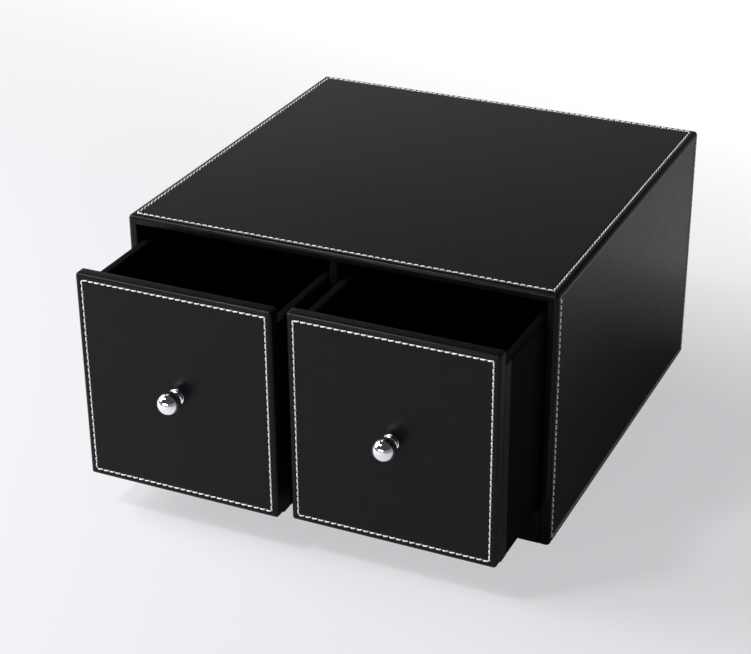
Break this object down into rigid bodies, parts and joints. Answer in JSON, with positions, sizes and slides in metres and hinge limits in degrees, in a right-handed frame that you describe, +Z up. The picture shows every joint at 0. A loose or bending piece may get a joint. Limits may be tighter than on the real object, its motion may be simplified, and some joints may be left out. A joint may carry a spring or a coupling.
{
  "type": "disc storage chest",
  "caption": "Tabletop chest of boards wrapped in black leathercloth with pale stitching, holding side-by-side open-topped drawers for disc cases, each with a round chrome knob.",
  "frame": {"origin": "middle of the chest's underside, on the surface it stands on", "axes": "+Z up, +X to the right of someone facing the drawers, the drawer fronts face -Y and open along -Y"},
  "size_m": [0.308, 0.4022, 0.1835],
  "materials": {
    "leather": "fine-grained black leathercloth with a satin sheen",
    "cover_cloth": "matt black covering cloth",
    "felt": "black flocked cloth",
    "board": "fibreboard faced with black lining paper",
    "chrome": "polished chrome plate",
    "steel": "zinc-plated steel",
    "thread": "off-white bonded sewing thread"
  },
  "bodies": {
    "cabinet": {"top_board": "board", "left_side_board": "board", "right_side_board": "board", "back_board": "board", "divider_board": "board", "base_board": "board", "front_rail_board": "board", "deck_board": "board", "top_leather": "leather", "left_side_leather": "leather", "right_side_leather": "leather", "back_leather": "leather", "divider_leather": "leather", "front_rail_leather": "leather", "base_cover": "felt", "left_deck_lining": "felt", "right_deck_lining": "felt"},
    "left_drawer": {"left_drawer_front_board": "board", "left_drawer_front_leather": "leather", "left_drawer_box_front": "board", "left_drawer_inner_wall": "board", "left_drawer_outer_wall": "board", "left_drawer_back_wall": "board", "left_drawer_floor_board": "board", "left_drawer_floor_lining": "felt", "left_drawer_wall_cover": "cover_cloth", "left_drawer_corner_strips": "leather", "left_drawer_glides": "felt", "left_drawer_knob": "chrome", "left_drawer_knob_screw": "steel"},
    "right_drawer": {"right_drawer_front_board": "board", "right_drawer_front_leather": "leather", "right_drawer_box_front": "board", "right_drawer_inner_wall": "board", "right_drawer_outer_wall": "board", "right_drawer_back_wall": "board", "right_drawer_floor_board": "board", "right_drawer_floor_lining": "felt", "right_drawer_wall_cover": "cover_cloth", "right_drawer_corner_strips": "leather", "right_drawer_glides": "felt", "right_drawer_knob": "chrome", "right_drawer_knob_screw": "steel"}
  },
  "joints": [
    {"name": "left_drawer_slide", "type": "slide", "parent": "cabinet", "child": "left_drawer", "axis": [0, -1, 0], "range_m": [-0.0795, 0.1505]},
    {"name": "right_drawer_slide", "type": "slide", "parent": "cabinet", "child": "right_drawer", "axis": [0, -1, 0], "range_m": [-0.076, 0.154]}
  ]
}
